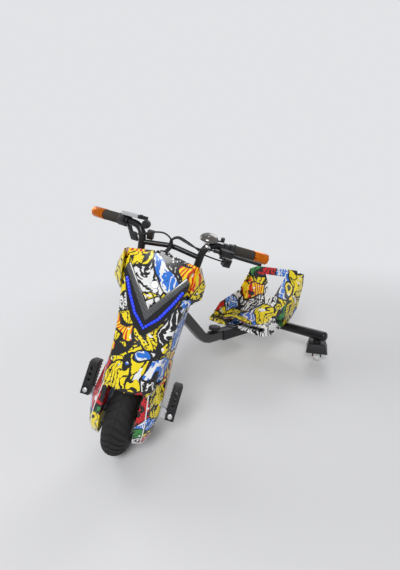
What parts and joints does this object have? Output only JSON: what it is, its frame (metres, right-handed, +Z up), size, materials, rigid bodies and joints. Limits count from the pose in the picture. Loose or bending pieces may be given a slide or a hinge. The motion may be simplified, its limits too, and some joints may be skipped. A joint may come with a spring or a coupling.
{
  "type": "drift trike",
  "caption": "Ride-on drift trike with a motor front wheel, steered fairing and handlebar, folding foot pegs, a sliding bucket seat and rear swivel casters.",
  "frame": {"origin": "middle of the standing trike's box, on the ground", "axes": "+Y to the rear, +Z up, +X to the rider's left"},
  "size_m": [0.6392, 1.027, 0.7624],
  "materials": {
    "tyre_rubber": "matt",
    "hub_alloy": "satin",
    "axle_steel": "satin",
    "black_steel": "gloss",
    "grey_steel": "satin",
    "grip_rubber": "matt",
    "orange_alloy": "polished",
    "black_alloy": "satin",
    "black_plastic": "matt",
    "silver_plastic": "satin",
    "bell_chrome": "polished",
    "battery_case": "matt",
    "printed_plastic": "gloss, printed in many colours",
    "channel_plastic": "gloss",
    "trim_plastic": "satin",
    "blue_light": "lit",
    "white_light": "lit",
    "caster_plastic": "satin"
  },
  "bodies": {
    "frame": {"main_frame": "grey_steel"},
    "steering": {"front_axle": "axle_steel", "fork_crown": "black_steel", "top_clamp": "black_steel", "handlebar_brace": "black_steel", "fork_leg_left": "black_steel", "handlebar_left": "black_steel", "grip_left": "grip_rubber", "bar_end_left": "orange_alloy", "side_wing_left": "printed_plastic", "leg_cover_left": "printed_plastic", "peg_bracket_left": "axle_steel", "fork_leg_right": "black_steel", "handlebar_right": "black_steel", "grip_right": "grip_rubber", "bar_end_right": "orange_alloy", "side_wing_right": "printed_plastic", "leg_cover_right": "printed_plastic", "peg_bracket_right": "axle_steel", "throttle_housing": "black_plastic", "display_pack": "silver_plastic", "horn_disc": "black_plastic", "wire_clamp": "black_plastic", "brake_clamp": "black_plastic", "bell_base": "axle_steel", "bell_dome": "bell_chrome", "switch_box": "black_plastic", "cable_throttle": "black_plastic", "cable_brake": "black_plastic", "cable_switch": "black_plastic", "cable_bundle": "black_plastic", "cable_tie": "black_plastic", "front_shell": "printed_plastic", "back_cover": "black_plastic", "battery_pack": "battery_case", "v_channel": "channel_plastic", "light_strip": "blue_light", "v_trim": "trim_plastic", "centre_panel": "printed_plastic", "headlight": "white_light"},
    "front_wheel": {"front_tyre": "tyre_rubber", "hub_motor": "hub_alloy"},
    "peg_left": {"foot_peg_left": "black_alloy"},
    "peg_right": {"foot_peg_right": "black_alloy"},
    "throttle_paddle": {"throttle_paddle": "black_plastic"},
    "display_button": {"display_button": "black_plastic"},
    "brake_lever": {"brake_lever": "black_alloy"},
    "bell_striker": {"bell_striker": "black_plastic"},
    "switch_button": {"switch_button": "black_plastic"},
    "rear": {"rear_sleeve": "black_steel", "seat_bracket": "black_steel", "bucket_seat": "printed_plastic", "rear_crossbar": "black_steel"},
    "clamp_knob": {"clamp_knob": "black_plastic"},
    "caster_left": {"caster_fork_left": "black_steel", "caster_cover_left": "black_plastic"},
    "caster_right": {"caster_fork_right": "black_steel", "caster_cover_right": "black_plastic"},
    "roller_left": {"caster_wheel_left": "caster_plastic"},
    "roller_right": {"caster_wheel_right": "caster_plastic"}
  },
  "joints": [
    {"name": "steering_turn", "type": "hinge", "parent": "frame", "child": "steering", "pos_m": [0, -0.39847, 0.12487], "axis": [0, 0.5075, 0.8616], "range_deg": [-101.5, 18.5]},
    {"name": "front_wheel_spin", "type": "hinge", "parent": "steering", "child": "front_wheel", "pos_m": [0, -0.39847, 0.12487], "axis": [0.749, 0.5709, -0.3363], "continuous": true},
    {"name": "peg_fold_left", "type": "hinge", "parent": "steering", "child": "peg_left", "pos_m": [0.11736, -0.3135, 0.11718], "axis": [-0.6626, 0.6453, -0.3801], "range_deg": [0, 90]},
    {"name": "peg_fold_right", "type": "hinge", "parent": "steering", "child": "peg_right", "pos_m": [-0.09085, -0.47222, 0.21067], "axis": [0.6626, -0.6453, 0.3801], "range_deg": [0, 90]},
    {"name": "throttle_press", "type": "hinge", "parent": "steering", "child": "throttle_paddle", "pos_m": [-0.05647, -0.25087, 0.70882], "axis": [-0.9498, -0.2018, 0.2389], "range_deg": [0, 35], "stiffness_Nm_per_rad": 0.4},
    {"name": "display_button_press", "type": "slide", "parent": "steering", "child": "display_button", "axis": [-0.1758, -0.2875, -0.9415], "range_m": [0, 0.0015], "stiffness_N_per_m": 300},
    {"name": "brake_pull", "type": "hinge", "parent": "steering", "child": "brake_lever", "pos_m": [0.19269, -0.09994, 0.59538], "axis": [0.3873, 0.2097, 0.8978], "range_deg": [0, 8], "stiffness_Nm_per_rad": 2},
    {"name": "bell_ring", "type": "hinge", "parent": "steering", "child": "bell_striker", "pos_m": [0.15628, -0.11114, 0.61206], "axis": [0.3938, -0.0344, 0.9185], "range_deg": [-5, 15], "stiffness_Nm_per_rad": 0.2},
    {"name": "switch_press", "type": "slide", "parent": "steering", "child": "switch_button", "axis": [-0.8264, 0.5106, 0.2372], "range_m": [0, 0.0015], "stiffness_N_per_m": 300},
    {"name": "length_slide", "type": "slide", "parent": "frame", "child": "rear", "axis": [0, 0.9796, -0.2011], "range_m": [0, 0.08]},
    {"name": "knob_turn", "type": "hinge", "parent": "rear", "child": "clamp_knob", "pos_m": [0, 0.02632, 0.21001], "axis": [0, 0.2011, 0.9796], "continuous": true},
    {"name": "caster_swivel_left", "type": "hinge", "parent": "rear", "child": "caster_left", "pos_m": [0.262, 0.41153, 0], "axis": [0, 0, 1], "continuous": true},
    {"name": "caster_roll_left", "type": "hinge", "parent": "caster_left", "child": "roller_left", "pos_m": [0.25583, 0.42629, 0.032], "axis": [0.9225, 0.3859, 0], "continuous": true},
    {"name": "caster_swivel_right", "type": "hinge", "parent": "rear", "child": "caster_right", "pos_m": [-0.262, 0.41153, 0], "axis": [0, 0, 1], "continuous": true},
    {"name": "caster_roll_right", "type": "hinge", "parent": "caster_right", "child": "roller_right", "pos_m": [-0.26817, 0.42629, 0.032], "axis": [0.9225, 0.3859, 0], "continuous": true}
  ]
}
